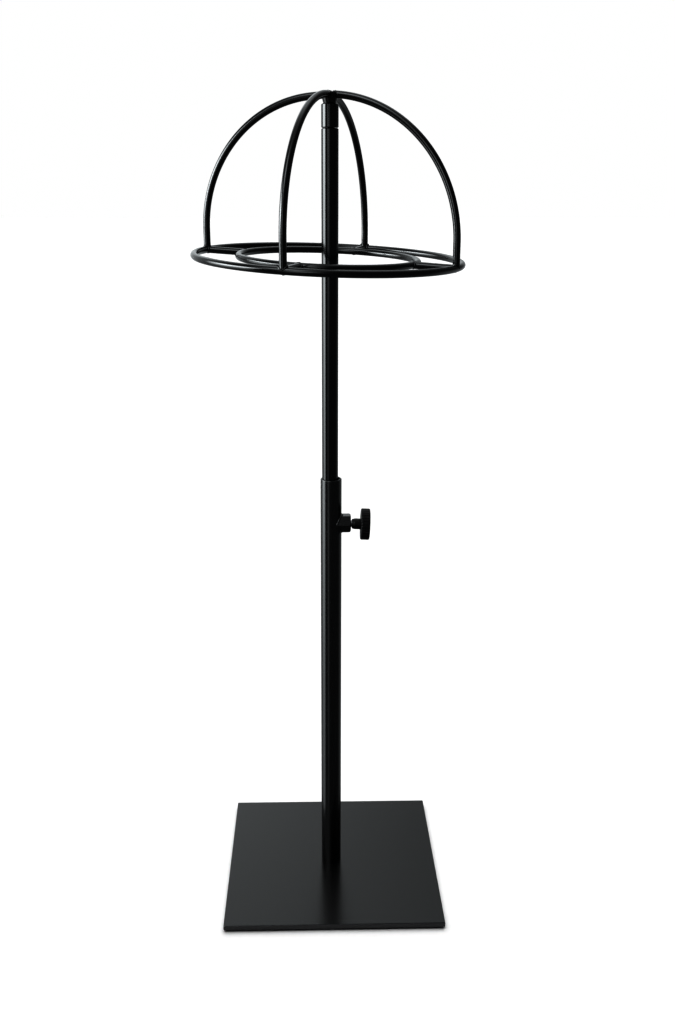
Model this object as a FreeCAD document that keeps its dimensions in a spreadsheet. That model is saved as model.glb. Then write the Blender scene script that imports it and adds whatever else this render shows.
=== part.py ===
import FreeCAD, Part
import Sketcher

import math
import os

# Two edges lie at the same place if they are closer than this, in millimetres
TOLERANCE = 1e-4

# Adjustable helmet stand: a welded wire cage swivels on top of a telescopic pole,
# a knob screw clamps the pole, and a square steel plate on four pads carries it all.
# The origin is on the table, on the axis of the lower tube. X runs towards the knob,
# Y to the back and Z up. Every length is in millimetres and every angle in degrees.

SIZES = [
    # Base
    ("plate_side", 172, "side of the square base plate"),
    ("plate_thick", 4, "thickness of the base plate"),
    ("plate_edge", 0.4, "broken edge of the base plate"),
    ("plate_shift", 1, "middle of the plate from the tube's axis, towards the knob"),
    ("pad_dia", 16, "diameter of a rubber pad"),
    ("pad_thick", 1.5, "thickness of a rubber pad"),
    ("pad_inset", 15, "pad centre to the edges of the plate"),
    ("pad_round", 0.4, "rounding of a pad's lower edge"),
    ("base_thread", 6, "thread diameter of the base screw"),
    ("base_grip", 11, "reach of the base screw above the plate"),
    ("head_dia", 11.4, "diameter of the countersunk head"),
    ("head_depth", 3, "height of the countersunk cone"),
    ("head_rim", 0.3, "straight rim of the countersunk head"),
    ("socket_flats", 4, "hexagon socket across flats"),
    ("socket_depth", 2, "depth of the hexagon socket"),
    ("screw_point", 0.8, "chamfer at the end of a screw"),
    # Lower tube
    ("outer_dia", 16, "outside diameter of the lower tube"),
    ("outer_wall", 1.2, "wall of the lower tube"),
    ("outer_length", 334.3, "length of the lower tube"),
    ("outer_round", 0.5, "rounding of the lower tube's rim"),
    ("plug_length", 15, "length of the threaded plug in the tube's foot"),
    ("plug_edge", 0.8, "chamfer of the threaded plug"),
    # Clamp
    ("clamp_drop", 35.4, "clamp axis below the rim of the lower tube"),
    ("clamp_thread", 6, "thread diameter of the clamp screw"),
    ("droop_angle", 2.4, "angle by which the screw and its thread in the nut droop"),
    ("hole_gap", 0.5, "play of the clamp screw in the tube's hole"),
    ("nut_flats", 12.8, "clamp nut across flats"),
    ("nut_thick", 7, "clamp nut from the tube's side to its outer face"),
    ("nut_edge", 0.9, "depth of the chamfer on the nut's corners"),
    ("tip_length", 1.2, "length of the screw's pressing tip"),
    ("tip_step", 0.8, "step from the thread down to the tip"),
    ("neck_gap", 1.1, "bare thread between the nut and the knob"),
    ("neck_dia", 8.2, "diameter of the knob's neck"),
    ("neck_length", 6.8, "length of the knob's neck"),
    ("neck_taper", 2, "length of the taper at the neck's end"),
    ("neck_wall", 0.5, "plastic round the screw at the neck's end"),
    ("neck_round", 1, "rounding of the neck behind its taper"),
    ("knob_dia", 24, "diameter of the knob"),
    ("knob_thick", 6.7, "thickness of the knob's head"),
    ("knob_round", 0.8, "rounding of the knob's edges"),
    ("knob_skin", 2.4, "plastic left over the end of the screw"),
    ("grip_count", 30, "number of grip flutes round the knob"),
    ("grip_dia", 1.6, "diameter of a grip flute"),
    ("grip_depth", 0.35, "depth of a grip flute"),
    # Pole
    ("inner_dia", 12, "outside diameter of the upper tube"),
    ("inner_wall", 1, "wall of the upper tube"),
    ("inner_length", 320, "length of the upper tube"),
    ("extension", 250.5, "upper tube standing out of the lower tube"),
    ("pole_edge", 0.5, "chamfer at the tube's top and the collar's ends"),
    ("insert_length", 18, "length of the threaded insert in the pole's top"),
    ("stud_dia", 6, "diameter of the stud that carries the cage"),
    ("stud_below", 14, "stud held in the insert"),
    ("stud_above", 10, "stud reaching into the collar"),
    ("bore_end", 0.6, "room above the end of the stud"),
    ("collar_length", 15.6, "length of the cage's collar"),
    # Cage
    ("wire_dia", 5, "diameter of the cage's wire"),
    ("ring_radius", 95.3, "centre line radius of the outer ring"),
    ("ring_gap", 31.4, "from the outer ring's centre line to the inner ring's"),
    ("ring_shift", 1.2, "centre of the rings from the pole's axis, away from the knob"),
    ("crown_height", 6.2, "centre line of the ribs above the collar"),
    ("rib_leg", 14.2, "height of the crown above the rings, less the outer ring's radius"),
    ("right_rib_run", 0.3, "straight run of the right rib at the crown"),
    ("back_right_rib_run", 6.9, "straight run of the back right rib"),
    ("left_rib_run", 11.1, "straight run of the left rib"),
    ("front_left_rib_run", 8.7, "straight run of the front left rib"),
    ("right_rib_angle", -24.4, "angle of the right rib round the rings, from the knob's side"),
    ("back_right_rib_angle", 71.4, "angle of the back right rib"),
    ("left_rib_angle", 159.6, "angle of the left rib"),
    ("front_left_rib_angle", 251.6, "angle of the front left rib"),
    ("fall_angle", 3.8, "angle by which the ribs fall away from the crown"),
    ("dip_angle", 3.26, "angle by which the rings hang out of level"),
    ("dip_side_angle", -52, "angle of the side on which the rings hang lowest"),
    ("weld_foot", 8.8, "diameter of the crown weld on the collar"),
    ("weld_top", 13, "diameter of the crown weld between the ribs"),
    ("weld_over", 0.8, "crown weld above the ribs' centre line"),
    # Fits
    ("fixed_gap", 0.05, "play of a piece fixed in or welded to another"),
    ("turn_gap", 0.08, "play of a piece that turns or slides on another"),
    ("side_gap", 0.05, "play left where the screw pushes the pole aside"),
    ("face_gap", 0.3, "play between the collar and the pole's top"),
    ("overrun", 1, "length by which a cut passes through"),
]

# The four ribs; two of them meet end to end at the crown and the other two butt on them
RIBS = ["right", "back_right", "left", "front_left"]
THROUGH = ["back_right", "front_left"]
FEET = {"front_left": (-1, -1), "front_right": (1, -1), "back_left": (-1, 1), "back_right": (1, 1)}

# Heights above the table and the pole's place, worked out from the sheet
PLATE_TOP = "(sizes.pad_thick + sizes.plate_thick)"
RIM = f"({PLATE_TOP} + sizes.outer_length)"
CLAMP_LEVEL = f"({RIM} - sizes.clamp_drop)"
POLE_TOP = f"({RIM} + sizes.extension)"
COLLAR_FOOT = f"({POLE_TOP} + sizes.face_gap)"
COLLAR_TOP = f"({COLLAR_FOOT} + sizes.collar_length)"
CROWN = f"({COLLAR_TOP} + sizes.crown_height)"
CAGE_RISE = "(sizes.ring_radius + sizes.rib_leg)"
RING_LEVEL = f"({CROWN} - {CAGE_RISE})"
SEAT_WIRE = "(sizes.wire_dia + 2 * sizes.fixed_gap)"
INNER_RADIUS = "(sizes.ring_radius - sizes.ring_gap)"
DIP = "sizes.dip_angle * 1deg"
DIP_SIDE = "sizes.dip_side_angle * 1deg"
FALL = "sizes.fall_angle * 1deg"
OUTER_BORE = "(sizes.outer_dia - 2 * sizes.outer_wall)"
INNER_BORE = "(sizes.inner_dia - 2 * sizes.inner_wall)"
POLE_X = f"(sizes.inner_dia / 2 + sizes.side_gap - {OUTER_BORE} / 2)"
DROOP = "(sizes.droop_angle * 1deg)"
TIP_RADIUS = "(sizes.clamp_thread / 2 - sizes.tip_step)"
TIP_REACH = f"({POLE_X} + sizes.inner_dia / 2 + sizes.side_gap + {TIP_RADIUS} * sin{DROOP})"
TIP_X = f"({TIP_REACH} / cos{DROOP})"
NUT_FACE = "(sizes.outer_dia / 2 + sizes.nut_thick)"
NECK_X = f"({NUT_FACE} + sizes.neck_gap)"
HEAD_X = f"({NECK_X} + sizes.neck_length)"
KNOB_END = f"({HEAD_X} + sizes.knob_thick)"
SCREW_END = f"({KNOB_END} - sizes.knob_skin)"


def make_sheet(doc):
    """Spreadsheet with one named cell for each size."""
    sheet = doc.addObject("Spreadsheet::Sheet", "sizes")
    for row, (alias, number, note) in enumerate(SIZES, start=1):
        sheet.set(f"A{row}", alias)
        sheet.set(f"B{row}", str(number))
        sheet.set(f"C{row}", note)
        sheet.setAlias(f"B{row}", alias)
    doc.recompute()
    return sheet


DOC = FreeCAD.newDocument("helmet_stand")
SHEET = make_sheet(DOC)


def value(text):
    """Number that an expression on the sheet gives now."""
    found = SHEET.evalExpression(text)
    return float(getattr(found, "Value", found))


def bind(thing, **expressions):
    """Bind properties to expressions, with Base_z standing for Placement.Base.z."""
    for key, text in expressions.items():
        path = "Placement." + key.replace("_", ".") if key.startswith("Base_") else key
        thing.setExpression(path, text)


def new_body(name, x="0", y="0", z="0", turn="0", axis=(0, 0, 1)):
    """Empty body at a place, turned about the vertical or another axis."""
    body = DOC.addObject("PartDesign::Body", name)
    body.Label = name
    bind(body, Base_x=x, Base_y=y, Base_z=z)
    body.Placement.Rotation = FreeCAD.Rotation(FreeCAD.Vector(*axis), 0)
    if turn != "0":
        body.setExpression("Placement.Rotation.Angle", turn)
    return body


def new_sketch(body, name, role, away="0", tilt="0"):
    """Sketch on one of the body's origin planes, moved along its normal or tilted about its X."""
    sketch = body.newObject("Sketcher::SketchObject", body.Name + "_" + name)
    planes = [plane for plane in body.Origin.OriginFeatures if plane.Role == role]
    sketch.AttachmentSupport = [(planes[0], "")]
    sketch.MapMode = "FlatFace"
    if away != "0":
        sketch.setExpression("AttachmentOffset.Base.z", away)
    if tilt != "0":
        sketch.AttachmentOffset.Rotation = FreeCAD.Rotation(FreeCAD.Vector(1, 0, 0), 0)
        sketch.setExpression("AttachmentOffset.Rotation.Angle", tilt)
    return sketch


def pin(sketch, geometry, point, across, up):
    """Hold one point of a sketch at a distance from the origin along both axes."""
    for kind, axis, text in (("DistanceX", -2, across), ("DistanceY", -1, up)):
        if text == "0":
            sketch.addConstraint(Sketcher.Constraint("PointOnObject", geometry, point, axis))
            continue
        number = sketch.addConstraint(
            Sketcher.Constraint(kind, -1, 1, geometry, point, value(text)))
        sketch.setExpression(f"Constraints[{number}]", text)


def outline(sketch, corners):
    """Closed outline of straight lines through corners given as pairs of expressions."""
    places = [FreeCAD.Vector(value(across), value(up), 0) for across, up in corners]
    following = places[1:] + places[:1]
    lines = [sketch.addGeometry(Part.LineSegment(*ends)) for ends in zip(places, following)]
    for line, after in zip(lines, lines[1:] + lines[:1]):
        sketch.addConstraint(Sketcher.Constraint("Coincident", line, 2, after, 1))
    for line, (across, up) in zip(lines, corners):
        pin(sketch, line, 1, across, up)


def circle(sketch, diameter, across="0", up="0"):
    """Circle whose centre and diameter are expressions."""
    centre = FreeCAD.Vector(value(across), value(up), 0)
    normal = FreeCAD.Vector(0, 0, 1)
    ring = sketch.addGeometry(Part.Circle(centre, normal, value(diameter) / 2))
    pin(sketch, ring, 3, across, up)
    number = sketch.addConstraint(Sketcher.Constraint("Diameter", ring, value(diameter)))
    sketch.setExpression(f"Constraints[{number}]", diameter)


def hexagon_corners(flats):
    """Corners of a hexagon with two level flats, from its width across flats."""
    corner = f"({flats} / sqrt(3))"
    return [(corner, "0"), (f"{corner} / 2", f"{flats} / 2"), (f"-{corner} / 2", f"{flats} / 2"),
            (f"-{corner}", "0"), (f"-{corner} / 2", f"-{flats} / 2"),
            (f"{corner} / 2", f"-{flats} / 2")]


def extrude(body, kind, sketch, length, reverse=False, both=False):
    """Pad or Pocket of a sketch, bound to its length."""
    feature = body.newObject("PartDesign::" + kind, sketch.Name + "_" + kind.lower())
    feature.Profile = sketch
    feature.Reversed = reverse
    feature.Midplane = both
    feature.setExpression("Length", length)
    return feature


def revolve(body, kind, sketch, axis="V_Axis"):
    """Revolution or Groove of a sketch, all the way round one of its axes."""
    feature = body.newObject("PartDesign::" + kind, sketch.Name + "_" + kind.lower())
    feature.Profile = sketch
    feature.ReferenceAxis = (sketch, [axis])
    feature.Angle = 360
    return feature


def dress(body, kind, size, wanted):
    """Fillet or Chamfer on the edges of the body so far that pass a test."""
    DOC.recompute()
    base = body.Tip
    edges = [f"Edge{number}" for number, edge in enumerate(base.Shape.Edges, start=1) if wanted(edge)]
    feature = body.newObject("PartDesign::" + kind, base.Name + "_" + kind.lower())
    feature.Base = (base, edges)
    feature.setExpression("Radius" if kind == "Fillet" else "Size", size)
    return feature


def round_edge(axis, place, radius):
    """Test for a full circle about an axis of the body, at a place along it."""
    def wanted(edge):
        curve = edge.Curve
        if not isinstance(curve, Part.Circle) or not edge.Closed:
            return False
        return abs(curve.Center[axis] - value(place)) < TOLERANCE and (
            abs(curve.Radius - value(radius)) < TOLERANCE)
    return wanted


def base_plate():
    """Square steel plate with a countersunk hole for the base screw."""
    body = new_body("base_plate", z="sizes.pad_thick")
    sketch = new_sketch(body, "outline", "XY_Plane")
    half = "sizes.plate_side / 2"
    left = f"sizes.plate_shift - {half}"
    right = f"sizes.plate_shift + {half}"
    outline(sketch, [(right, half), (left, half), (left, f"-{half}"), (right, f"-{half}")])
    extrude(body, "Pad", sketch, "sizes.plate_thick")
    dress(body, "Chamfer", "sizes.plate_edge", lambda edge: True)
    hole = new_sketch(body, "hole", "XZ_Plane")
    cone = "(sizes.head_dia / 2 + sizes.fixed_gap)"
    bore = "(sizes.base_thread / 2 + sizes.fixed_gap)"
    deep = "(sizes.head_rim + sizes.head_depth)"
    top = "(sizes.plate_thick + sizes.overrun)"
    outline(hole, [("0", "-sizes.overrun"), (cone, "-sizes.overrun"), (cone, "sizes.head_rim"),
                   (bore, deep), (bore, top), ("0", top)])
    revolve(body, "Groove", hole)
    return body


def foot(side, across, back):
    """Round rubber pad stuck under one corner of the plate."""
    reach = "(sizes.plate_side / 2 - sizes.pad_inset)"
    body = new_body("foot_" + side, x=f"sizes.plate_shift + {across} * {reach}",
                    y=f"{back} * {reach}")
    sketch = new_sketch(body, "outline", "XY_Plane")
    circle(sketch, "sizes.pad_dia")
    extrude(body, "Pad", sketch, "sizes.pad_thick")
    dress(body, "Fillet", "sizes.pad_round", round_edge(2, "0", "sizes.pad_dia / 2"))
    return body


def base_screw():
    """Countersunk socket screw that pulls the tube's plug onto the plate."""
    body = new_body("base_screw", z="sizes.pad_thick")
    sketch = new_sketch(body, "profile", "XZ_Plane")
    head = "sizes.head_dia / 2"
    shank = "sizes.base_thread / 2"
    deep = "(sizes.head_rim + sizes.head_depth)"
    end = "(sizes.plate_thick + sizes.base_grip)"
    outline(sketch, [("0", "0"), (head, "0"), (head, "sizes.head_rim"), (shank, deep),
                     (shank, f"{end} - sizes.screw_point"), (f"{shank} - sizes.screw_point", end),
                     ("0", end)])
    revolve(body, "Revolution", sketch)
    socket = new_sketch(body, "socket", "XY_Plane")
    outline(socket, hexagon_corners("sizes.socket_flats"))
    extrude(body, "Pocket", socket, "sizes.socket_depth", reverse=True)
    return body


def foot_plug():
    """Threaded plug fixed in the foot of the lower tube."""
    body = new_body("foot_plug", z=PLATE_TOP)
    sketch = new_sketch(body, "outline", "XY_Plane")
    outside = f"({OUTER_BORE} - 2 * sizes.fixed_gap)"
    circle(sketch, outside)
    circle(sketch, "sizes.base_thread + 2 * sizes.fixed_gap")
    extrude(body, "Pad", sketch, "sizes.plug_length")
    dress(body, "Chamfer", "sizes.plug_edge", round_edge(2, "sizes.plug_length", f"{outside} / 2"))
    return body


def lower_tube():
    """Outer tube of the pole, with a rounded rim and a hole for the clamp screw."""
    body = new_body("lower_tube", z=PLATE_TOP)
    sketch = new_sketch(body, "outline", "XY_Plane")
    circle(sketch, "sizes.outer_dia")
    circle(sketch, OUTER_BORE)
    extrude(body, "Pad", sketch, "sizes.outer_length")
    dress(body, "Fillet", "sizes.outer_round",
          round_edge(2, "sizes.outer_length", "sizes.outer_dia / 2"))
    hole = new_sketch(body, "clamp_hole", "YZ_Plane")
    circle(hole, "sizes.clamp_thread + 2 * sizes.hole_gap", up="sizes.outer_length - sizes.clamp_drop")
    extrude(body, "Pocket", hole, "sizes.outer_dia", reverse=True)
    return body


def clamp_nut():
    """Hexagon nut welded to the side of the lower tube, cut to sit on the round tube."""
    body = new_body("clamp_nut", z=CLAMP_LEVEL)
    sketch = new_sketch(body, "outline", "YZ_Plane")
    outline(sketch, hexagon_corners("sizes.nut_flats"))
    extrude(body, "Pad", sketch, NUT_FACE)
    corners = new_sketch(body, "corner_cut", "XZ_Plane")
    inside = "(sizes.nut_flats / 2)"
    outside = "(sizes.nut_flats * (2 / sqrt(3) - 1 / 2))"
    back = f"({NUT_FACE} - 2 * sizes.nut_edge)"
    outline(corners, [(NUT_FACE, inside), (NUT_FACE, outside), (back, outside)])
    revolve(body, "Groove", corners, "H_Axis")
    saddle = new_sketch(body, "saddle", "XY_Plane")
    circle(saddle, "sizes.outer_dia + 2 * sizes.fixed_gap")
    extrude(body, "Pocket", saddle, "2 * sizes.nut_flats", both=True)
    thread = new_sketch(body, "thread", "YZ_Plane", tilt=DROOP)
    circle(thread, "sizes.clamp_thread + 2 * sizes.turn_gap")
    extrude(body, "Pocket", thread, f"{NUT_FACE} + sizes.overrun", reverse=True)
    return body


def clamp_screw():
    """Steel screw whose tip presses on the upper tube; it droops a little in its nut."""
    body = new_body("clamp_screw", z=CLAMP_LEVEL, turn=DROOP, axis=(0, 1, 0))
    sketch = new_sketch(body, "profile", "XZ_Plane")
    radius = "sizes.clamp_thread / 2"
    outline(sketch, [(TIP_X, "0"), (TIP_X, TIP_RADIUS), (f"{TIP_X} + sizes.tip_length", TIP_RADIUS),
                     (f"{TIP_X} + sizes.tip_length + sizes.tip_step", radius),
                     (SCREW_END, radius), (SCREW_END, "0")])
    revolve(body, "Revolution", sketch, "H_Axis")
    return body


def clamp_knob():
    """Moulded knob with a fluted rim, a neck and a blind bore for the screw."""
    body = new_body("clamp_knob", z=CLAMP_LEVEL, turn=DROOP, axis=(0, 1, 0))
    sketch = new_sketch(body, "profile", "XZ_Plane")
    bore = "(sizes.clamp_thread / 2 + sizes.fixed_gap)"
    neck = "sizes.neck_dia / 2"
    rim = "sizes.knob_dia / 2"
    bore_end = f"({SCREW_END} + sizes.fixed_gap)"
    taper = f"({NECK_X} + sizes.neck_taper)"
    outline(sketch, [(NECK_X, bore), (NECK_X, f"{bore} + sizes.neck_wall"), (taper, neck),
                     (HEAD_X, neck), (HEAD_X, rim), (KNOB_END, rim), (KNOB_END, "0"),
                     (bore_end, "0"), (bore_end, bore)])
    revolve(body, "Revolution", sketch, "H_Axis")
    dress(body, "Fillet", "sizes.neck_round", round_edge(0, taper, neck))
    dress(body, "Fillet", "sizes.knob_round", round_edge(0, HEAD_X, rim))
    dress(body, "Fillet", "sizes.knob_round", round_edge(0, KNOB_END, rim))
    flute = new_sketch(body, "flute", "YZ_Plane", away=f"{HEAD_X} - sizes.overrun")
    circle(flute, "sizes.grip_dia", across="sizes.knob_dia / 2 + sizes.grip_dia / 2 - sizes.grip_depth")
    cut = extrude(body, "Pocket", flute, "sizes.knob_thick + 2 * sizes.overrun", reverse=True)
    pattern = body.newObject("PartDesign::PolarPattern", "grip_flutes")
    pattern.Originals = [cut]
    pattern.Axis = (flute, ["N_Axis"])
    pattern.Angle = 360
    pattern.setExpression("Occurrences", "sizes.grip_count")
    body.Tip = pattern
    return body


def upper_tube():
    """Inner tube of the pole, pushed against the lower tube's bore by the screw."""
    body = new_body("upper_tube", x=POLE_X, z=f"{POLE_TOP} - sizes.inner_length")
    sketch = new_sketch(body, "outline", "XY_Plane")
    circle(sketch, "sizes.inner_dia")
    circle(sketch, INNER_BORE)
    extrude(body, "Pad", sketch, "sizes.inner_length")
    dress(body, "Chamfer", "sizes.pole_edge",
          round_edge(2, "sizes.inner_length", "sizes.inner_dia / 2"))
    return body


def pole_insert():
    """Threaded insert fixed in the top of the upper tube."""
    body = new_body("pole_insert", x=POLE_X, z=f"{POLE_TOP} - sizes.insert_length")
    sketch = new_sketch(body, "outline", "XY_Plane")
    circle(sketch, f"{INNER_BORE} - 2 * sizes.fixed_gap")
    circle(sketch, "sizes.stud_dia + 2 * sizes.fixed_gap")
    extrude(body, "Pad", sketch, "sizes.insert_length")
    return body


def collar_stud():
    """Stud that is fixed in the insert and carries the collar."""
    body = new_body("collar_stud", x=POLE_X, z=f"{POLE_TOP} - sizes.stud_below")
    sketch = new_sketch(body, "outline", "XY_Plane")
    circle(sketch, "sizes.stud_dia")
    long = "(sizes.stud_below + sizes.face_gap + sizes.stud_above)"
    extrude(body, "Pad", sketch, long)
    dress(body, "Chamfer", "sizes.screw_point", lambda edge: isinstance(edge.Curve, Part.Circle))
    return body


def cage_collar():
    """Short collar of the pole's own diameter that the cage is welded to."""
    body = new_body("cage_collar", x=POLE_X, z=COLLAR_FOOT)
    sketch = new_sketch(body, "outline", "XY_Plane")
    circle(sketch, "sizes.inner_dia")
    extrude(body, "Pad", sketch, "sizes.collar_length")
    dress(body, "Chamfer", "sizes.pole_edge", lambda edge: isinstance(edge.Curve, Part.Circle))
    bore = new_sketch(body, "bore", "XY_Plane")
    circle(bore, "sizes.stud_dia + 2 * sizes.turn_gap")
    extrude(body, "Pocket", bore, "sizes.stud_above + sizes.bore_end", reverse=True)
    return body


def rib_foot(side):
    """Place of a rib's foot on the outer ring, from the crown, as three expressions."""
    along = f"cos(sizes.{side}_rib_angle * 1deg - {DIP_SIDE})"
    across = f"(sizes.ring_radius * sin(sizes.{side}_rib_angle * 1deg - {DIP_SIDE}))"
    level = f"(sizes.ring_radius * {along} * cos({DIP}))"
    x = f"({level} * cos({DIP_SIDE}) - {across} * sin({DIP_SIDE}) - sizes.ring_shift)"
    y = f"({level} * sin({DIP_SIDE}) + {across} * cos({DIP_SIDE}))"
    z = f"(-{CAGE_RISE} - sizes.ring_radius * {along} * sin({DIP}))"
    return x, y, z


def rib_turn(side):
    """Direction in which a rib leaves the crown, as an expression."""
    x, y, z = rib_foot(side)
    return f"atan2({y}; {x})"


def rib_start(side):
    """Distance from the crown's axis at which a rib's wire ends, as an expression."""
    if side in THROUGH:
        kink = f"abs(cos(({rib_turn(THROUGH[0])} - {rib_turn(THROUGH[1])}) / 2))"
        return f"((sizes.fixed_gap + sizes.wire_dia * {kink}) / 2)"
    skew = f"abs(cos({rib_turn(side)} - {rib_turn(THROUGH[0])}))"
    half = "sizes.wire_dia / 2"
    return f"(({half} * (1 + {skew}) + sizes.fixed_gap) / sqrt(1 - {skew} ^ 2))"


def placement(height, turning, x=POLE_X):
    """Placement of something at a height on the pole's axis, as one expression."""
    return f"create(<<placement>>; create(<<vector>>; {x} * 1mm; 0mm; {height} * 1mm); {turning})"


def spin(turn):
    """Rotation about the vertical, as an expression."""
    return f"create(<<rotation>>; create(<<vector>>; 0; 0; 1); {turn})"


def ring_placement(turn="0 deg"):
    """Placement of something drawn in the rings' own plane, turned within it."""
    axis = f"create(<<vector>>; -sin({DIP_SIDE}); cos({DIP_SIDE}); 0)"
    turning = f"create(<<rotation>>; {axis}; {DIP}) * {spin(turn)}"
    return placement(RING_LEVEL, turning, f"({POLE_X} - sizes.ring_shift)")


def torus(name, radius, wire):
    """Ring of round wire in the rings' plane."""
    ring = DOC.addObject("Part::Torus", name)
    ring.Label = name
    bind(ring, Radius1=radius, Radius2=f"{wire} / 2", Placement=ring_placement())
    return ring


def cut_away(name, base, tools):
    """Base with every tool cut away."""
    tool = DOC.addObject("Part::MultiFuse", name + "_tools")
    tool.Shapes = tools
    result = DOC.addObject("Part::Cut", name)
    result.Label = name
    result.Base = base
    result.Tool = tool
    return result


def rod(name, where, diameter, start, length):
    """Straight round rod along the X axis of a placement."""
    body = DOC.addObject("PartDesign::Body", name)
    body.setExpression("Placement", where)
    section = new_sketch(body, "section", "YZ_Plane", away=start)
    circle(section, diameter)
    extrude(body, "Pad", section, length)
    return body


def spoke_rod(name, side, diameter):
    """Rod from the inner ring's centre line to the outer ring's, at a rib's foot."""
    where = ring_placement(f"sizes.{side}_rib_angle * 1deg")
    return rod(name, where, diameter, INNER_RADIUS, "sizes.ring_gap")


def rib_route(side):
    """Corners of a rib's centre line from the crown down, and the radius of its bend."""
    x, y, foot_up = rib_foot(side)
    reach = f"sqrt({x} ^ 2 + {y} ^ 2)"
    start = rib_start(side)
    bend_start = f"({start} + sizes.{side}_rib_run * cos({FALL}))"
    bend = f"(({reach} - {bend_start}) / (1 - sin({FALL})))"
    bend_top = f"(-{bend_start} * tan({FALL}))"
    bend_foot = f"({bend_top} - {bend} * cos({FALL}))"
    corners = [(start, f"(-{start} * tan({FALL}))"), (bend_start, bend_top), (reach, bend_foot),
               (reach, foot_up)]
    return corners, bend


def rib_wire(side):
    """Wire of a rib: a short run that falls from the crown, a bend and a leg."""
    corners, bend = rib_route(side)
    start, start_up = corners[0]
    body = new_body(f"rib_{side}_wire", x=POLE_X, z=CROWN, turn=rib_turn(side))
    path = new_sketch(body, "path", "XZ_Plane")
    places = [FreeCAD.Vector(value(across), value(up), 0) for across, up in corners]
    centre = places[2] - FreeCAD.Vector(value(bend), 0, 0)
    circle_of_bend = Part.Circle(centre, FreeCAD.Vector(0, 0, 1), value(bend))
    steepness = math.radians(90 - value("sizes.fall_angle"))
    run = path.addGeometry(Part.LineSegment(places[0], places[1]))
    arc = path.addGeometry(Part.ArcOfCircle(circle_of_bend, 0, steepness))
    leg = path.addGeometry(Part.LineSegment(places[2], places[3]))
    path.addConstraint(Sketcher.Constraint("Coincident", run, 2, arc, 2))
    path.addConstraint(Sketcher.Constraint("Coincident", arc, 1, leg, 1))
    number = path.addConstraint(Sketcher.Constraint("Radius", arc, value(bend)))
    path.setExpression(f"Constraints[{number}]", bend)
    for corner, (line, end) in zip(corners, ((run, 1), (run, 2), (leg, 1), (leg, 2))):
        pin(path, line, end, *corner)
    section = new_sketch(body, "section", "YZ_Plane", away=start)
    circle(section, "sizes.wire_dia", up=start_up)
    wire = body.newObject("PartDesign::AdditivePipe", body.Name + "_pipe")
    wire.Profile = section
    wire.Spine = (path, ["Edge1", "Edge2", "Edge3"])
    return body


def rib(side, ring_seat):
    """Rib cut to sit on the outer ring and over the end of its spoke."""
    name = "rib_" + side
    spoke_seat = spoke_rod(name + "_spoke_seat", side, SEAT_WIRE)
    return cut_away(name, rib_wire(side), [ring_seat, spoke_seat])


def spoke(side, ring_seats):
    """Straight wire between the two rings, in line with a rib."""
    name = "spoke_" + side
    return cut_away(name, spoke_rod(name + "_wire", side, "sizes.wire_dia"), ring_seats)


def crown_weld():
    """Weld metal that joins the ribs' ends to each other and to the collar."""
    cone = DOC.addObject("Part::Cone", "crown_weld_metal")
    bind(cone, Radius1="sizes.weld_foot / 2", Radius2="sizes.weld_top / 2", Base_x=POLE_X,
         Base_z=COLLAR_TOP, Height="sizes.crown_height + sizes.weld_over")
    falling = f"create(<<rotation>>; create(<<vector>>; 0; 1; 0); {FALL})"
    channels = []
    for side in RIBS:
        where = placement(CROWN, f"{spin(rib_turn(side))} * {falling}")
        back = "(-sizes.wire_dia / 2)"
        channels.append(rod("crown_channel_" + side, where, SEAT_WIRE, back, "sizes.weld_top"))
    return cut_away("crown_weld", cone, channels)


def make_parts():
    """Every sub-part of the stand, in the order in which it would be put together."""
    parts = [base_plate()]
    parts += [foot(side, *signs) for side, signs in FEET.items()]
    parts += [base_screw(), foot_plug(), lower_tube(), clamp_nut(), clamp_screw(), clamp_knob()]
    parts += [upper_tube(), pole_insert(), collar_stud(), cage_collar(), crown_weld()]
    parts.append(torus("outer_ring", "sizes.ring_radius", "sizes.wire_dia"))
    parts.append(torus("inner_ring", INNER_RADIUS, "sizes.wire_dia"))
    seats = [torus("outer_seat", "sizes.ring_radius", SEAT_WIRE)]
    seats.append(torus("inner_seat", INNER_RADIUS, SEAT_WIRE))
    for side in RIBS:
        parts.append(rib(side, seats[0]))
        parts.append(spoke(side, seats))
    return parts


def check(parts):
    """Stop if any object failed or any sub-part isn't one valid solid."""
    DOC.recompute()
    for thing in DOC.Objects:
        if "Invalid" in thing.State or "Error" in thing.State:
            raise RuntimeError(f"{thing.Name} failed: {thing.State}")
    for part in parts:
        if part.Shape.isNull() or not part.Shape.isValid() or len(part.Shape.Solids) != 1:
            raise RuntimeError(f"{part.Label} isn't one valid solid")


def write(parts):
    """One STEP file for each sub-part, named after its label."""
    os.makedirs("parts", exist_ok=True)
    for part in parts:
        part.Shape.exportStep(f"parts/{part.Label}.step")
        print(part.Label, round(part.Shape.Volume, 1))


PARTS = make_parts()
check(PARTS)
write(PARTS)
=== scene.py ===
"""Coats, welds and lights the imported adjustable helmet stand."""

import math

import bmesh
import bpy
from bpy.props import FloatProperty, FloatVectorProperty, IntProperty, PointerProperty
from mathutils import Euler, Matrix, Vector, noise


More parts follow.
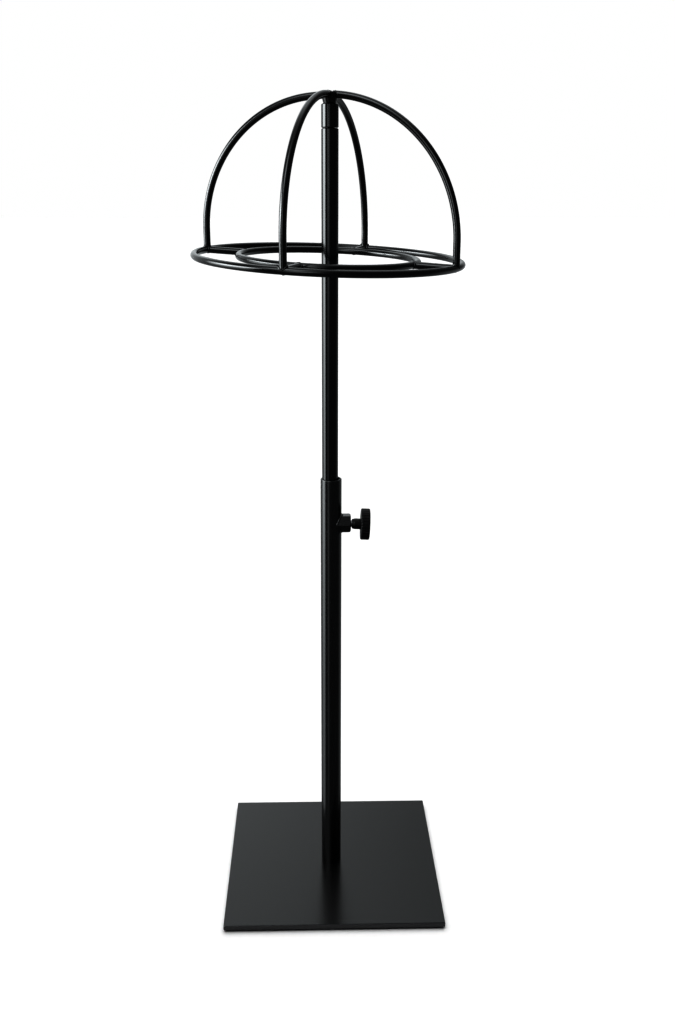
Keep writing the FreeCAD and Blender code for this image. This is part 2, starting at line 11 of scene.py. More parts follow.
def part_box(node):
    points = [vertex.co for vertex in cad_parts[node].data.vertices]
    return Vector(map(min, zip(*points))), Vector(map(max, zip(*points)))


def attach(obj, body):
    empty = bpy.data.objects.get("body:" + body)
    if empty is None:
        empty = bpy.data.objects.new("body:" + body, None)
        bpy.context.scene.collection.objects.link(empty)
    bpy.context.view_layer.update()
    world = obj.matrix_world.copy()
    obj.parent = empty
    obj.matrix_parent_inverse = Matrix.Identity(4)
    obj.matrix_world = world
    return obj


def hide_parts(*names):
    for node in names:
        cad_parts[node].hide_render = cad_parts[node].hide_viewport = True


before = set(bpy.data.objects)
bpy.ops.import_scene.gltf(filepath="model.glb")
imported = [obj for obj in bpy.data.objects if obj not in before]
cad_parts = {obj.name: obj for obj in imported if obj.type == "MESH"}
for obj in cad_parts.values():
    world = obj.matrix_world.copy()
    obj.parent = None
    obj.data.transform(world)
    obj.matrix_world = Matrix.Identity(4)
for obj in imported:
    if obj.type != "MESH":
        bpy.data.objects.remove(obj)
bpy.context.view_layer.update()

bl_info = {
    "name": "Adjustable helmet stand",
    "version": (1, 0, 0),
    "blender": (4, 5, 0),
    "location": "View3D > Sidebar > Helmet stand",
    "description": "Coats, welds and lights an adjustable helmet stand",
    "category": "Object",
}

MM = 0.001
UP = Vector((0, 0, 1))
TOWARDS_KNOB = Vector((1, 0, 0))
FULL_TURN = 2 * math.pi

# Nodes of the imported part, by their finish
SIDES = ("right", "back_right", "left", "front_left")
RIBS = [f"rib_{side}" for side in SIDES]
SPOKES = [f"spoke_{side}" for side in SIDES]
GLOSSY_TUBES = ["upper_tube", "cage_collar"]
SATIN_TUBES = ["lower_tube", "clamp_nut"]
FEET = ["foot_front_left", "foot_front_right", "foot_back_left", "foot_back_right"]
PLATED_FIXINGS = ["base_screw", "foot_plug", "pole_insert"]

# Points of a mesh closer than this are one point, in metres
MERGE_GAP = 0.001 * MM

# Beads of weld: how finely they are cut, and how their metal wanders
BEAD_SIDES = 12
BEAD_STEPS = 56
LUMPS_IN_A_RADIAN = 3.2
SKIN_LUMPS_IN_A_METRE = 900
SKIN_SHARE = 0.6
SEED_SPACING = 7.1
FLANK_SHARE = 0.3
FLANK_POWER = 4
CROWN_SEED = 20
NUT_SEED = 31
# A bead lies flat on a host that is so many times thinner than the wire
FLAT_HOST = 100

# Ridge of the screw's thread: half its foot as a share of the pitch, and how deep the foot is
# sunk, as a share of the root's radius
RIDGE_FOOT_SHARE = 0.46
RIDGE_SINK_SHARE = 0.96

# Studio: half the floor's side and the farthest that the camera sees, in metres, and the
# height of its sensor in millimetres
FLOOR_REACH = 30
FLOOR_CELLS = 2
FARTHEST_SEEN = 100
SENSOR_HEIGHT = 36


def middle(node):
    """Middle of a CAD node's box, in metres."""
    low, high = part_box(node)
    return (low + high) / 2


# Sizes and colours that a user would change

def length(name, text, default):
    return FloatProperty(name=name, description=text, default=default, unit="LENGTH", precision=5)


def angle(name, text, degrees):
    return FloatProperty(name=name, description=text, default=math.radians(degrees),
                         subtype="ANGLE")


def colour(name, text, default):
    return FloatVectorProperty(name=name, description=text, default=default, size=3, min=0, max=1,
                               subtype="COLOR")


def strength(name, text, default):
    return FloatProperty(name=name, description=text, default=default, min=0)


class CageSizes(bpy.types.PropertyGroup):
    """Where the cage's wires lie, repeated from the part's own sizes."""
    wire: length("Wire", "Diameter of the cage's wire", 5 * MM)
    radius: length("Ring radius", "Radius of the outer ring's centre line", 95.3 * MM)
    gap: length("Ring gap", "Distance between the two rings' centre lines", 31.4 * MM)
    crown: length("Crown", "Height of the ribs' centre line above the collar", 6.2 * MM)
    fall: angle("Fall", "Angle by which the ribs fall away from the crown", 3.8)
    dip: angle("Dip", "Angle by which the rings hang out of level", 3.26)
    dip_side: angle("Dip side", "Side on which the rings hang lowest", -52)
    right: angle("Right rib", "Place of the right rib on the ring", -24.4)
    back_right: angle("Back right rib", "Place of the back right rib on the ring", 71.4)
    left: angle("Left rib", "Place of the left rib on the ring", 159.6)
    front_left: angle("Front left rib", "Place of the front left rib on the ring", 251.6)


class WeldSizes(bpy.types.PropertyGroup):
    """Sizes of the weld beads."""
    wire_bead: length("Wire bead", "Half width of a bead between two wires", 1.15 * MM)
    nut_bead: length("Nut bead", "Half width of the bead round the clamp nut", 1.1 * MM)
    nut_seam: length("Nut seam", "Radius of the bead round the clamp nut", 6.5 * MM)
    crown_bead: length("Crown bead", "Half width of the beads at the crown", 0.15 * MM)
    crown_reach: length("Crown reach", "Distance of the crown's beads from the pole's axis",
                        4.2 * MM)
    ripple: length("Ripple", "Height of the ripples in a bead", 0.2 * MM)


class ThreadSizes(bpy.types.PropertyGroup):
    """Sizes and slope of the clamp screw's thread."""
    droop: angle("Droop", "Angle by which the screw droops", 2.4)
    crest: length("Crest", "Radius over the thread", 2.98 * MM)
    root: length("Root", "Radius at the bottom of the thread", 2.4 * MM)
    pitch: length("Pitch", "Length of one turn of the thread", 1 * MM)
    point: length("Point", "Length of the bare tip", 1.4 * MM)
    steps: IntProperty(name="Steps", description="Faces in one turn", default=32, min=12)


class CoatColours(bpy.types.PropertyGroup):
    """Colours of the finishes."""
    plate: colour("Plate", "Satin powder coat of the base plate", (0.0035, 0.0038, 0.0041))
    # Painted light: this lighter grey on the plate's cut sides stands in for the table's
    # reflection, not a colour of the coat
    painted_rim_light: colour("Rim", "Powder coat on the plate's cut sides", (0.11, 0.112, 0.115))
    tube: colour("Tube", "Gloss coat of the upper tube and the collar", (0.005, 0.0053, 0.006))
    lower: colour("Lower tube", "Satin coat of the lower tube and the nut", (0.008, 0.0083, 0.009))
    wire: colour("Wire", "Gloss coat of the cage's wires", (0.005, 0.0053, 0.0056))
    zinc: colour("Zinc", "Plain zinc-plated steel", (0.46, 0.46, 0.47))
    black: colour("Black steel", "Blackened steel of the collar's stud", (0.03, 0.03, 0.03))
    rubber: colour("Rubber", "Rubber of the feet", (0.015, 0.015, 0.015))
    knob: colour("Knob", "Moulding of the clamp knob", (0.002, 0.002, 0.0021))


class StudioSettings(bpy.types.PropertyGroup):
    """Floor, lights and camera."""
    floor: colour("Floor", "Paper under the stand", (0.93, 0.93, 0.93))
    sky: strength("Sky", "Soft light from above and behind", 2.85)
    cool: colour("Cool", "Tint of the room, as the coats mirror it", (0.94, 0.985, 1.0))
    room: strength("Room", "Brightness of the dim room, as the coats mirror it", 0.12)
    left_box: strength("Left box", "Brightness of the long soft box on the left", 14)
    front_box: strength("Front box", "Brightness of the soft box at the front left", 7.5)
    low_box: strength("Low box", "Brightness of the small box beside the camera", 5.8)
    strip: strength("Strip", "Brightness of the upright strip beside the camera", 1.2)
    right_box: strength("Right box", "Brightness of the soft box at the back right", 1.5)
    cloth: strength("Cloth", "Brightness of the cloth behind the stand", 0.8)
    wall: strength("Wall", "Brightness of the wall beside the cloth", 0.98)
    table: strength("Table", "Brightness of the table far behind the stand", 0.45)
    ceiling: strength("Ceiling", "Brightness of the ceiling", 0.7)
    grade: strength("Grade", "Softness of the picture's tone curve", 0.6)
    lens: FloatProperty(name="Lens", description="Focal length in millimetres", default=36.6147)
    eye: FloatVectorProperty(name="Eye", description="Place of the camera", size=3, unit="LENGTH",
                             default=(-0.0143656, -0.7661399, 0.5438858))
    turn: FloatVectorProperty(name="Turn", description="Turn of the camera", size=3,
                              subtype="EULER", default=(1.2783645, -0.0014059, -0.0247514))


# Shader maths

class Value:
    """What a node gives, added up and multiplied as Python numbers are."""

    def __init__(self, finish, socket):
        self.finish = finish
        self.socket = socket

    def maths(self, operation, first, second):
        return self.finish.node("ShaderNodeMath", {"operation": operation}, {0: first, 1: second})

    def __add__(self, other):
        return self.maths("ADD", self, other)

    def __radd__(self, other):
        return self.maths("ADD", other, self)

    def __sub__(self, other):
        return self.maths("SUBTRACT", self, other)

    def __rsub__(self, other):
        return self.maths("SUBTRACT", other, self)

    def __mul__(self, other):
        return self.maths("MULTIPLY", self, other)

    def __rmul__(self, other):
        return self.maths("MULTIPLY", other, self)

    def __pow__(self, other):
        return self.maths("POWER", self, other)

    def held(self, whole=1):
        """Share of a whole, held between nothing and all of it."""
        return self.finish.node("ShaderNodeClamp", {}, {"Value": self * (1 / whole)})

    def rising(self, start, over):
        """Nothing up to the start, and all of it so much further on."""
        return (self - start).held(over)

    def falling(self, end, over):
        """Nothing from the end on, and all of it so much before that."""
        return (end - self).held(over)

    def hump(self, centre, narrowness):
        """All of it at the centre, falling off to both sides."""
        off = self - centre
        return (1.0 - narrowness * off * off).held()


class Finish:
    """Node tree of one finish or of the studio's sky."""

    def __init__(self, owner):
        self.owner = owner
        owner.use_nodes = True
        self.tree = owner.node_tree
        self.tree.nodes.clear()

    def node(self, kind, settings=None, values=None, out=0):
        """New node, as the value of one of its outputs if it has any."""
        made = self.tree.nodes.new(kind)
        for name, setting in (settings or {}).items():
            setattr(made, name, setting)
        for name, given in (values or {}).items():
            if isinstance(given, Value):
                self.tree.links.new(given.socket, made.inputs[name])
            else:
                made.inputs[name].default_value = given
        return Value(self, made.outputs[out]) if len(made.outputs) else made

    def place(self):
        """Place on the piece, in metres."""
        return self.node("ShaderNodeTexCoord", out="Object")

    def split(self, vector):
        """X, Y and Z of a vector."""
        return [self.node("ShaderNodeSeparateXYZ", {}, {"Vector": vector}, out=axis)
                for axis in "XYZ"]

    def grain(self, lumps, detail, stretch=(1, 1, 1)):
        """Soft noise of so many lumps in a metre."""
        where = self.node("ShaderNodeMapping", {}, {"Vector": self.place(), "Scale": stretch})
        return self.node("ShaderNodeTexNoise", {},
                         {"Vector": where, "Scale": lumps, "Detail": detail})

    def blend(self, share_of, first, second):
        """Mix of two colours."""
        if not isinstance(first, Value):
            first = (*first, 1)
        return self.node("ShaderNodeMix", {"data_type": "RGBA"},
                         {"Factor": share_of, 6: first, 7: (*second, 1)}, out=2)

    def shades(self, share_of, tint, darkest, lightest):
        """Colour that wanders between two shades of a tint."""
        return self.blend(share_of, [part * darkest for part in tint],
                          [part * lightest for part in tint])

    def facing(self, way, turn, height):
        """How squarely a direction faces a light, so many degrees left of the camera and up."""
        turn, height = math.radians(turn), math.radians(height)
        aim = (-math.sin(turn) * math.cos(height), -math.cos(turn) * math.cos(height),
               math.sin(height))
        return self.node("ShaderNodeVectorMath", {"operation": "DOT_PRODUCT"},
                         {0: way, 1: aim}, out="Value")

    def box(self, way, turn, height, focus):
        """Soft box seen in a direction, smaller the greater its focus."""
        return self.facing(way, turn, height).held() ** focus

    def bump(self, height, distance):
        return self.node("ShaderNodeBump", {}, {"Height": height, "Distance": distance})

    def coat(self, **values):
        """Closes the tree with one shader whose sockets take these values."""
        named = {name.replace("_", " "): given for name, given in values.items()}
        shader = self.node("ShaderNodeBsdfPrincipled", {}, named)
        self.node("ShaderNodeOutputMaterial", {}, {"Surface": shader})
        return self.owner


# Finishes

def new_finish(name):
    return Finish(bpy.data.materials.new(name))


def cut_sides(finish):
    """Where the upright sides of the base plate are; they take the painted light of the rim
    colour.
    """
    low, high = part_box("base_plate")
    across, back, _ = finish.split(finish.place())
    sides = 0.0
    for place, start, end in ((across, low.x, high.x), (back, low.y, high.y)):
        from_middle = (place * 2 - (start + end)) * (1 / (end - start))
        sides = sides + (from_middle * from_middle).rising(0.998, over=0.001)
    return sides


def powder_coat(tint, painted_rim_light):
    """Satin powder coat with the skin of an orange peel, and painted light on the plate's cut
    sides: a lighter grey there stands in for the table that they mirror.
    """
    finish = new_finish("satin_powder_coat")
    peel = finish.grain(lumps=620, detail=2)
    grit = finish.grain(lumps=4200, detail=1)
    patch = finish.grain(lumps=35, detail=3)
    top = finish.shades(patch, tint, darkest=0.88, lightest=1.12)
    return finish.coat(
        # Painted reflection: the cut sides take the lighter rim colour in place of the table that
        # they mirror
        Base_Color=finish.blend(cut_sides(finish), top, painted_rim_light),
        Roughness=0.19 + 0.05 * grit,
        IOR=1.6,
        Normal=finish.bump(peel + 0.2 * grit, distance=0.008 * MM))


def tube_coat(name, tint, roughness, ior):
    """Semi-gloss or satin coat of a tube."""
    finish = new_finish(name)
    peel = finish.grain(lumps=520, detail=2)
    wipe = finish.grain(lumps=60, detail=3)
    return finish.coat(
        Base_Color=finish.shades(wipe, tint, darkest=0.85, lightest=1.15),
        Roughness=roughness + 0.04 * wipe,
        IOR=ior,
        Normal=finish.bump(peel, distance=0.0015 * MM))


def wire_coat(name, tint, lump):
    """Semi-gloss coat that lies unevenly over drawn wire and its welds."""
    finish = new_finish(name)
    draw = finish.grain(lumps=260, detail=3)
    pit = finish.grain(lumps=1900, detail=2)
    return finish.coat(
        Base_Color=finish.shades(draw, tint, darkest=0.8, lightest=1.2),
        Roughness=0.11 + 0.05 * pit,
        IOR=1.5,
        Normal=finish.bump(draw + 0.3 * pit, distance=lump))


def steel(name, tint):
    """Plated or blackened steel, slightly clouded."""
    finish = new_finish(name)
    cloud = finish.grain(lumps=300, detail=4)
    scratch = finish.grain(lumps=900, detail=3, stretch=(1, 1, 0.08))
    return finish.coat(
        Base_Color=finish.shades(cloud, tint, darkest=0.8, lightest=1.1),
        Metallic=1.0,
        Roughness=0.28 + 0.2 * cloud,
        Normal=finish.bump(scratch, distance=0.01 * MM))


def rubber(tint):
    """Matt rubber."""
    finish = new_finish("foot_rubber")
    grit = finish.grain(lumps=2600, detail=3)
    return finish.coat(
        Base_Color=finish.shades(grit, tint, darkest=0.7, lightest=1.3),
        Roughness=0.75 + 0.15 * grit,
        Normal=finish.bump(grit, distance=0.05 * MM))


def moulding(tint):
    """Finely grained moulded plastic."""
    finish = new_finish("knob_moulding")
    grit = finish.grain(lumps=3300, detail=2)
    patch = finish.grain(lumps=120, detail=2)
    return finish.coat(
        Base_Color=finish.shades(patch, tint, darkest=0.8, lightest=1.2),
        Roughness=0.36 + 0.12 * grit,
        IOR=1.35,
        Normal=finish.bump(grit, distance=0.03 * MM))


def paper(tint):
    """Plain pale paper with a faint tooth."""
    finish = new_finish("floor_paper")
    tooth = finish.grain(lumps=700, detail=2)
    return finish.coat(
        Base_Color=finish.shades(tooth, tint, darkest=0.995, lightest=1),
        Roughness=0.9,
        Specular_IOR_Level=0.0,
        Normal=finish.bump(tooth, distance=0.01 * MM))


FINISHES = {
    # The plate's cut sides get a painted reflection, the lighter grey rim colour
    "powder_coat": lambda tints: powder_coat(tints.plate, tints.painted_rim_light),
    "gloss_coat": lambda tints: tube_coat("tube_gloss_coat", tints.tube, 0.10, ior=1.5),
    "satin_coat": lambda tints: tube_coat("lower_tube_coat", tints.lower, 0.17, ior=1.62),
    "wire_coat": lambda tints: wire_coat("wire_gloss_coat", tints.wire, lump=0.006 * MM),
    "weld_coat": lambda tints: wire_coat("weld_gloss_coat", tints.wire, lump=0.03 * MM),
    "zinc_steel": lambda tints: steel("zinc_steel", tints.zinc),
    "black_steel": lambda tints: steel("black_steel", tints.black),
    "pad_rubber": lambda tints: rubber(tints.rubber),
    "knob_plastic": lambda tints: moulding(tints.knob),
}
made_finishes = {}


def finish_of(name, scene):
    """The material of that name, made when first asked for."""
    if name not in made_finishes:
        made_finishes[name] = FINISHES[name](scene.stand_colours)
    return made_finishes[name]


def coat_nodes(nodes, name, scene):
    """Gives CAD nodes a finish."""
    for node in nodes:
        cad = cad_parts[node]
        cad.data.materials.clear()
        cad.data.materials.append(finish_of(name, scene))


# Room that the coats mirror: how bright each thing in it is in a direction, whose parts across,
# back and up run from -1 to 1

def left_box(across, back, up):
    """Long soft box on the left, brighter the higher it is."""
    box = (back + 0.3 * up).rising(-0.5, over=0.2) * back.falling(0.5, over=0.45)
    box = box * across.falling(0, over=0.25) * up.falling(0.45, over=0.25)
    return box * (up + 1.0) ** 2.8


def cloth(across, back, up):
    """Cloth that hangs behind the stand, a little to the left."""
    hung = across.hump(-0.2, narrowness=10.0)
    return hung * up.rising(0.2, over=0.2) * up.falling(0.9, over=0.35) * back.rising(0, over=0.4)


def wall(across, back, up):
    """Wall behind the stand, darker to the right."""
    return (across.falling(0.6, over=0.7) * back.rising(0.2, over=0.33)
            * up.rising(-0.3, over=0.4))


def table(back, up):
    """Table behind the stand."""
    return back.rising(0, over=0.4) * up.falling(0.1, over=0.3) * up.rising(-0.95, over=0.5)


def strip(across, back, up):
    """Upright strip in front, beside the camera."""
    beside = (0.85 * across - 0.53 * back).hump(0, narrowness=25.0)
    return (beside * back.falling(0, over=0.4) * up.rising(-0.62, over=0.3)
            * up.falling(0.1, over=0.4))


def mirrored_room(sky, way, studio):
    """Everything that the coats mirror in a direction."""
    across, back, up = sky.split(way)
    room = studio.room + studio.left_box * left_box(across, back, up)
    room = room + studio.cloth * cloth(across, back, up)
    room = room + studio.wall * wall(across, back, up)
    room = room + studio.ceiling * up.rising(0.82, over=0.14)
    room = room + studio.table * table(back, up)
    room = room + studio.front_box * sky.box(way, turn=42, height=47, focus=22)
    room = room + studio.low_box * sky.box(way, turn=22, height=10, focus=45)
    room = room + studio.strip * strip(across, back, up)
    return room + studio.right_box * sky.box(way, turn=-152, height=60, focus=16)


# New pieces

def new_piece(name, mesh, body, finish, scene):
    """Makes a finished piece of a bmesh and rides it on a body."""
    bmesh.ops.remove_doubles(mesh, verts=mesh.verts, dist=MERGE_GAP)
    bmesh.ops.recalc_face_normals(mesh, faces=mesh.faces)
    data = bpy.data.meshes.new(name)
    mesh.to_mesh(data)
    mesh.free()
    data.shade_smooth()
    data.materials.append(finish_of(finish, scene))
    piece = bpy.data.objects.new(name, data)
    scene.collection.objects.link(piece)
    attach(piece, body)
    return piece


def axes(origin, along, out):
    """Matrix whose Z runs out from an origin and whose X lies nearest to along."""
    z = Vector(out).normalized()
    y = z.cross(Vector(along)).normalized()
    x = y.cross(z)
    turn = Matrix((x, y, z)).transposed().to_4x4()
    return Matrix.Translation(origin) @ turn


def bead(seat, butt, host, half, ripple, seed, flank_share=FLANK_SHARE):
    """Bead of weld round a wire of radius butt that stands on a wire or tube of radius host.

    In its own axes the host runs along X and the wire stands along Z. Where the wire meets
    the host's flank the bead grows thin, to this share of its width."""
    mesh = bmesh.new()
    ring = bmesh.ops.create_circle(mesh, segments=BEAD_SIDES, radius=half)["verts"]
    upright = Matrix.Rotation(math.pi / 2, 3, "X")
    bmesh.ops.rotate(mesh, verts=ring, cent=(0, 0, 0), matrix=upright)
    bmesh.ops.translate(mesh, verts=ring, vec=(butt, 0, 0))
    bmesh.ops.spin(mesh, geom=mesh.edges[:], cent=(0, 0, 0), axis=UP, angle=FULL_TURN,
                   steps=BEAD_STEPS, use_merge=True)
    bmesh.ops.recalc_face_normals(mesh, faces=mesh.faces)
    mesh.normal_update()
    for vertex in mesh.verts:
        turned = math.atan2(vertex.co.y, vertex.co.x)
        flank = math.sin(turned) ** 2
        line = Vector((butt * math.cos(turned), butt * math.sin(turned), 0))
        width = 1 - (1 - flank_share) * flank * min(butt / host, 1) ** FLANK_POWER
        lumps = noise.noise(Vector((turned * LUMPS_IN_A_RADIAN, seed * SEED_SPACING, 0)))
        skin = noise.noise(vertex.co * SKIN_LUMPS_IN_A_METRE + Vector((seed, 0, 0)))
        wander = (lumps + skin * SKIN_SHARE) * ripple
        lift = math.sqrt(max(host ** 2 - flank * butt ** 2, 0))
        away = (vertex.co - line) * width + vertex.normal * wander * width
        vertex.co = line + away + UP * lift
    bmesh.ops.transform(mesh, matrix=seat, verts=mesh.verts)
    return mesh


def ring_axes(cage, side):
    """Outward direction and tangent of the rings at a rib."""
    dip = Matrix.Rotation(cage.dip, 3, (-math.sin(cage.dip_side), math.cos(cage.dip_side), 0))
    turned = getattr(cage, side)
    out = dip @ Vector((math.cos(turned), math.sin(turned), 0))
    along = dip @ Vector((-math.sin(turned), math.cos(turned), 0))
    return out, along


# Operators

class STAND_OT_base(bpy.types.Operator):
    """Powder coats the base plate and makes its feet rubber"""
    bl_idname = "stand.base"
    bl_label = "Base plate and feet"

    def execute(self, context):
        coat_nodes(["base_plate"], "powder_coat", context.scene)
        coat_nodes(FEET, "pad_rubber", context.scene)
        return {"FINISHED"}


class STAND_OT_tubes(bpy.types.Operator):
    """Coats the tubes, the collar and the clamp nut"""
    bl_idname = "stand.tubes"
    bl_label = "Tubes, collar and nut"

    def execute(self, context):
        coat_nodes(GLOSSY_TUBES, "gloss_coat", context.scene)
        coat_nodes(SATIN_TUBES, "satin_coat", context.scene)
        return {"FINISHED"}


class STAND_OT_wires(bpy.types.Operator):
    """Coats the cage's rings, ribs, spokes and crown weld"""
    bl_idname = "stand.wires"
    bl_label = "Cage wires"

    def execute(self, context):
        coat_nodes(["outer_ring", "inner_ring"] + RIBS + SPOKES, "wire_coat", context.scene)
        coat_nodes(["crown_weld"], "weld_coat", context.scene)
        return {"FINISHED"}


class STAND_OT_fixings(bpy.types.Operator):
    """Plates the base screw, the plug and the insert, and blackens the collar's stud"""
    bl_idname = "stand.fixings"
    bl_label = "Inner fixings"

    def execute(self, context):
        coat_nodes(PLATED_FIXINGS, "zinc_steel", context.scene)
        coat_nodes(["collar_stud"], "black_steel", context.scene)
        return {"FINISHED"}


class STAND_OT_wire_welds(bpy.types.Operator):
    """Welds the ribs and the spokes to the rings"""
    bl_idname = "stand.wire_welds"
    bl_label = "Welds on the rings"

    def execute(self, context):
        cage = context.scene.stand_cage
        welds = context.scene.stand_welds
        half = cage.wire / 2
        centre = middle("outer_ring")
        seed = 0
        for side in SIDES:
            out, along = ring_axes(cage, side)
            outer = centre + out * cage.radius
            inner = centre + out * (cage.radius - cage.gap)
            seats = {
                f"rib_weld_{side}": axes(outer, along, UP),
                f"spoke_weld_{side}_outer": axes(outer, along, -out),
                f"spoke_weld_{side}_inner": axes(inner, along, out),
            }
            for name, seat in seats.items():
                mesh = bead(seat, half, half, welds.wire_bead, welds.ripple, seed)
                new_piece(name, mesh, "cage", "weld_coat", context.scene)
                seed += 1
        return {"FINISHED"}


class STAND_OT_crown_welds(bpy.types.Operator):
    """Rounds the crown weld off where the ribs leave it"""
    bl_idname = "stand.crown_welds"
    bl_label = "Welds at the crown"

    def execute(self, context):
        cage = context.scene.stand_cage
        welds = context.scene.stand_welds
        centre = middle("outer_ring")
        crown = middle("cage_collar")
        crown.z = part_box("cage_collar")[1].z + cage.crown
        for seed, side in enumerate(SIDES, start=CROWN_SEED):
            out, along = ring_axes(cage, side)
            away = centre + out * cage.radius - crown
            away = Vector((away.x, away.y, 0)).normalized() - UP * math.tan(cage.fall)
            seat = axes(crown + away * welds.crown_reach, away.cross(UP), away)
            mesh = bead(seat, cage.wire / 2, cage.wire / FLAT_HOST, welds.crown_bead,
                        welds.ripple / 2, seed, flank_share=1)
            new_piece(f"crown_bead_{side}", mesh, "cage", "weld_coat", context.scene)
        return {"FINISHED"}


class STAND_OT_nut_weld(bpy.types.Operator):
    """Welds the clamp nut to the lower tube"""
    bl_idname = "stand.nut_weld"
    bl_label = "Weld round the clamp nut"

    def execute(self, context):
        welds = context.scene.stand_welds
        low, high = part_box("lower_tube")
        centre = middle("lower_tube")
        centre.z = middle("clamp_nut").z
        seat = axes(centre, UP, TOWARDS_KNOB)
        mesh = bead(seat, welds.nut_seam, (high.x - low.x) / 2, welds.nut_bead, welds.ripple,
                    NUT_SEED)
        new_piece("nut_weld", mesh, "base", "satin_coat", context.scene)
        return {"FINISHED"}


class STAND_OT_clamp_screw(bpy.types.Operator):
    """Cuts the thread of the clamp screw"""
    bl_idname = "stand.clamp_screw"
    bl_label = "Clamp screw"

    def execute(self, context):
        sizes = context.scene.stand_thread
        long = self.length_of_screw(sizes)
        mesh = bmesh.new()
        bmesh.ops.create_cone(mesh, cap_ends=True, segments=sizes.steps, radius1=sizes.root,
                              radius2=sizes.root, depth=long)
        self.wind_thread(mesh, sizes, long)
        way = (math.cos(sizes.droop), 0, -math.sin(sizes.droop))
        seat = axes(middle("clamp_screw"), UP, way)
        bmesh.ops.transform(mesh, matrix=seat, verts=mesh.verts)
        piece = new_piece("clamp_screw_threaded", mesh, "clamp", "zinc_steel",
                          context.scene)
        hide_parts("clamp_screw")
        return {"FINISHED"}

    def length_of_screw(self, sizes):
        """Length of the drooping screw, from its upright box."""
        low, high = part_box("clamp_screw")
        tilt = (high.y - low.y) * math.sin(sizes.droop)
        return (high.x - low.x - tilt) / math.cos(sizes.droop)

    def wind_thread(self, mesh, sizes, long):
        """Winds a three-sided ridge round the core, from the point on."""
        ridge = bmesh.ops.create_circle(mesh, segments=3, cap_ends=True,
                                        radius=sizes.pitch)["verts"]
        start = sizes.point - long / 2
        foot = sizes.root * RIDGE_SINK_SHARE
        corners = [(-RIDGE_FOOT_SHARE, foot), (RIDGE_FOOT_SHARE, foot), (0, sizes.crest)]
        for vertex, (shift, out) in zip(ridge, corners):
            vertex.co = Vector((out, 0, start + shift * sizes.pitch))
        edges = [edge for edge in mesh.edges if set(edge.verts) <= set(ridge)]
        faces = [face for face in mesh.faces if set(face.verts) <= set(ridge)]
        turns = math.floor((long - sizes.point - sizes.pitch) / sizes.pitch)
        bmesh.ops.spin(mesh, geom=ridge + edges + faces, cent=(0, 0, 0), axis=UP,
                       angle=FULL_TURN * turns, steps=sizes.steps * turns,
                       dvec=(0, 0, sizes.pitch / sizes.steps))


class STAND_OT_knob(bpy.types.Operator):
    """Gives the clamp knob its grained moulding"""
    bl_idname = "stand.knob"
    bl_label = "Clamp knob"

    def execute(self, context):
        coat_nodes(["clamp_knob"], "knob_plastic", context.scene)
        return {"FINISHED"}


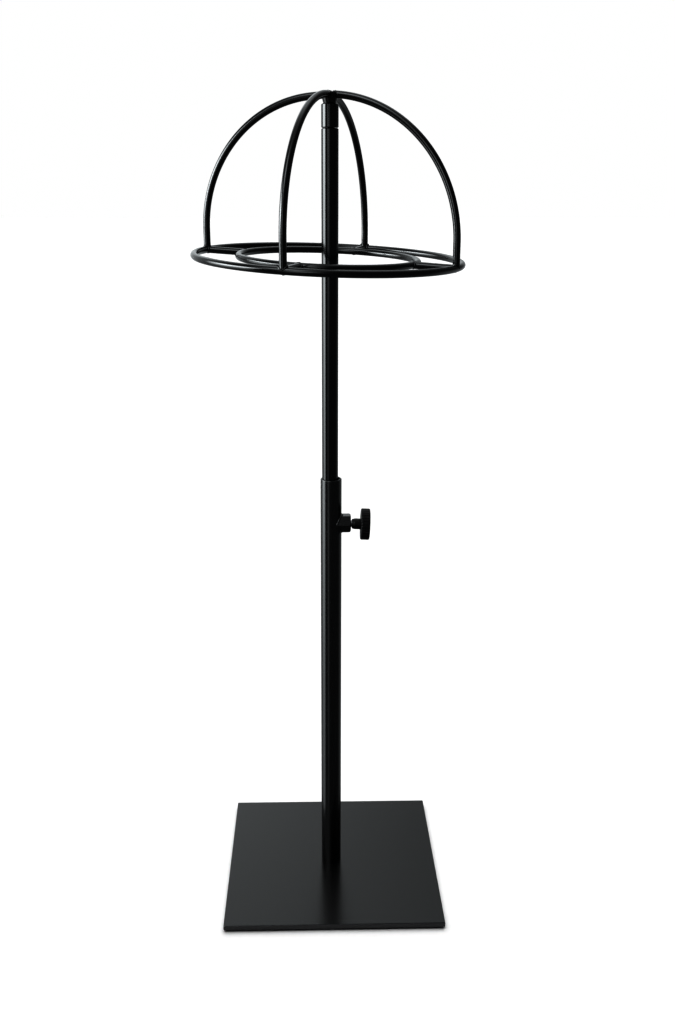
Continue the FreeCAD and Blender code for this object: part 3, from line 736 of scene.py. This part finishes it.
class STAND_OT_studio(bpy.types.Operator):
    """Lays the floor and sets the lights and the camera"""
    bl_idname = "stand.studio"
    bl_label = "Studio"

    def execute(self, context):
        studio = context.scene.stand_studio
        self.lay_floor(context.scene, studio)
        self.light_sky(context.scene, studio)
        self.set_camera(context.scene, studio)
        return {"FINISHED"}

    def lay_floor(self, scene, studio):
        """Pale paper that the coats don't mirror, because the room's table stands for it."""
        mesh = bmesh.new()
        bmesh.ops.create_grid(mesh, x_segments=FLOOR_CELLS, y_segments=FLOOR_CELLS,
                              size=FLOOR_REACH)
        data = bpy.data.meshes.new("floor")
        mesh.to_mesh(data)
        mesh.free()
        data.materials.append(paper(studio.floor))
        floor = bpy.data.objects.new("floor", data)
        scene.collection.objects.link(floor)
        floor.visible_glossy = False

    def light_sky(self, scene, studio):
        """White to look at, soft as light, and the room where the coats mirror it."""
        scene.world = bpy.data.worlds.new("studio")
        sky = Finish(scene.world)
        seen = sky.node("ShaderNodeLightPath", out="Is Camera Ray")
        mirrored = sky.node("ShaderNodeLightPath", out="Is Glossy Ray")
        way = sky.node("ShaderNodeTexCoord", out="Generated")
        soft = studio.sky * sky.facing(way, turn=170, height=72).rising(0.6, over=0.3)
        room = mirrored_room(sky, way, studio)
        light = seen + (1.0 - seen) * (mirrored * room + (1.0 - mirrored) * soft)
        tint = sky.blend(mirrored, (1, 1, 1), studio.cool)
        glow = sky.node("ShaderNodeBackground", {}, {"Color": tint, "Strength": light})
        sky.node("ShaderNodeOutputWorld", {}, {"Surface": glow})

    def set_camera(self, scene, studio):
        """Camera at the photograph's angle, and the picture's tone curve."""
        data = bpy.data.cameras.new("camera")
        data.sensor_fit = "VERTICAL"
        data.sensor_height = SENSOR_HEIGHT
        data.lens = studio.lens
        data.clip_end = FARTHEST_SEEN
        camera = bpy.data.objects.new("camera", data)
        scene.collection.objects.link(camera)
        camera.location = studio.eye
        camera.rotation_euler = Euler(studio.turn)
        scene.camera = camera
        scene.view_settings.view_transform = "Standard"
        scene.view_settings.gamma = studio.grade


class STAND_PT_panel(bpy.types.Panel):
    """Lists the stand's pieces and its studio"""
    bl_idname = "STAND_PT_panel"
    bl_label = "Helmet stand"
    bl_space_type = "VIEW_3D"
    bl_region_type = "UI"
    bl_category = "Helmet stand"

    def draw(self, context):
        for group, kind in GROUPS.items():
            settings = getattr(context.scene, group)
            for name in kind.__annotations__:
                self.layout.prop(settings, name)
        for step in STEPS:
            self.layout.operator(step.bl_idname)


GROUPS = {
    "stand_cage": CageSizes,
    "stand_welds": WeldSizes,
    "stand_thread": ThreadSizes,
    "stand_colours": CoatColours,
    "stand_studio": StudioSettings,
}
STEPS = (STAND_OT_studio, STAND_OT_base, STAND_OT_tubes, STAND_OT_wires, STAND_OT_fixings,
         STAND_OT_wire_welds, STAND_OT_crown_welds, STAND_OT_nut_weld, STAND_OT_clamp_screw,
         STAND_OT_knob)


def register():
    for group in (*GROUPS.values(), *STEPS, STAND_PT_panel):
        bpy.utils.register_class(group)
    for name, group in GROUPS.items():
        setattr(bpy.types.Scene, name, PointerProperty(type=group))


def unregister():
    for name in GROUPS:
        delattr(bpy.types.Scene, name)
    for group in (STAND_PT_panel, *STEPS, *GROUPS.values()):
        bpy.utils.unregister_class(group)


def main():
    register()
    for step in STEPS:
        area, name = step.bl_idname.split(".")
        getattr(getattr(bpy.ops, area), name)()


if __name__ == "__main__":
    main()
